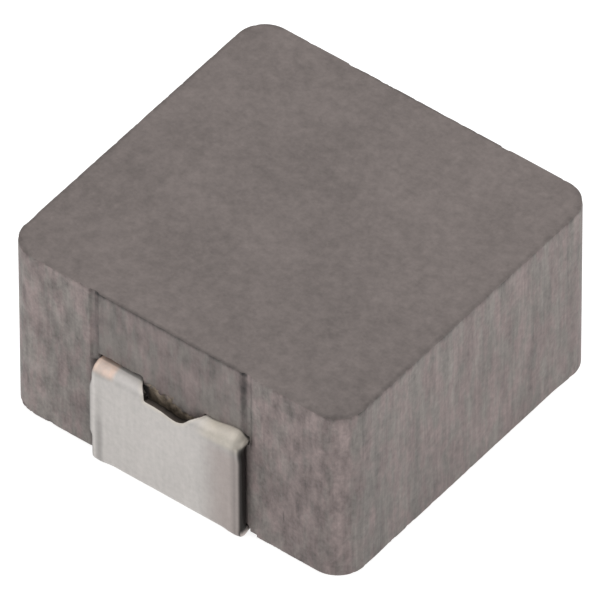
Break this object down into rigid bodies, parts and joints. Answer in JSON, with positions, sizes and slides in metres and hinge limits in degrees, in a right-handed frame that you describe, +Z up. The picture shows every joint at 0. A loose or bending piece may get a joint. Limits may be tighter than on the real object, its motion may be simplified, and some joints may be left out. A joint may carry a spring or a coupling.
{
  "type": "shielded smd inductor",
  "caption": "Moulded surface-mount power inductor: a copper coil pressed into a square grey iron powder block, with two folded tinned strip terminals.",
  "frame": {"origin": "middle of the part, on the plane of the two solder pads", "axes": "+Z up from the circuit board, +Y from the front terminal to the rear one, +X along the terminal faces"},
  "size_m": [0.0126, 0.013, 0.0066],
  "materials": {
    "pressed_powder": "matt, fine-grained pressed iron powder composite with upright draw marks on its sides",
    "enamelled_copper": "clear enamel over drawn copper wire",
    "tinned_strip": "satin matt tin plate over copper strip"
  },
  "bodies": {
    "root": {"core_body": "pressed_powder", "coil": "enamelled_copper", "terminal_front": "tinned_strip", "terminal_rear": "tinned_strip"}
  },
  "joints": []
}
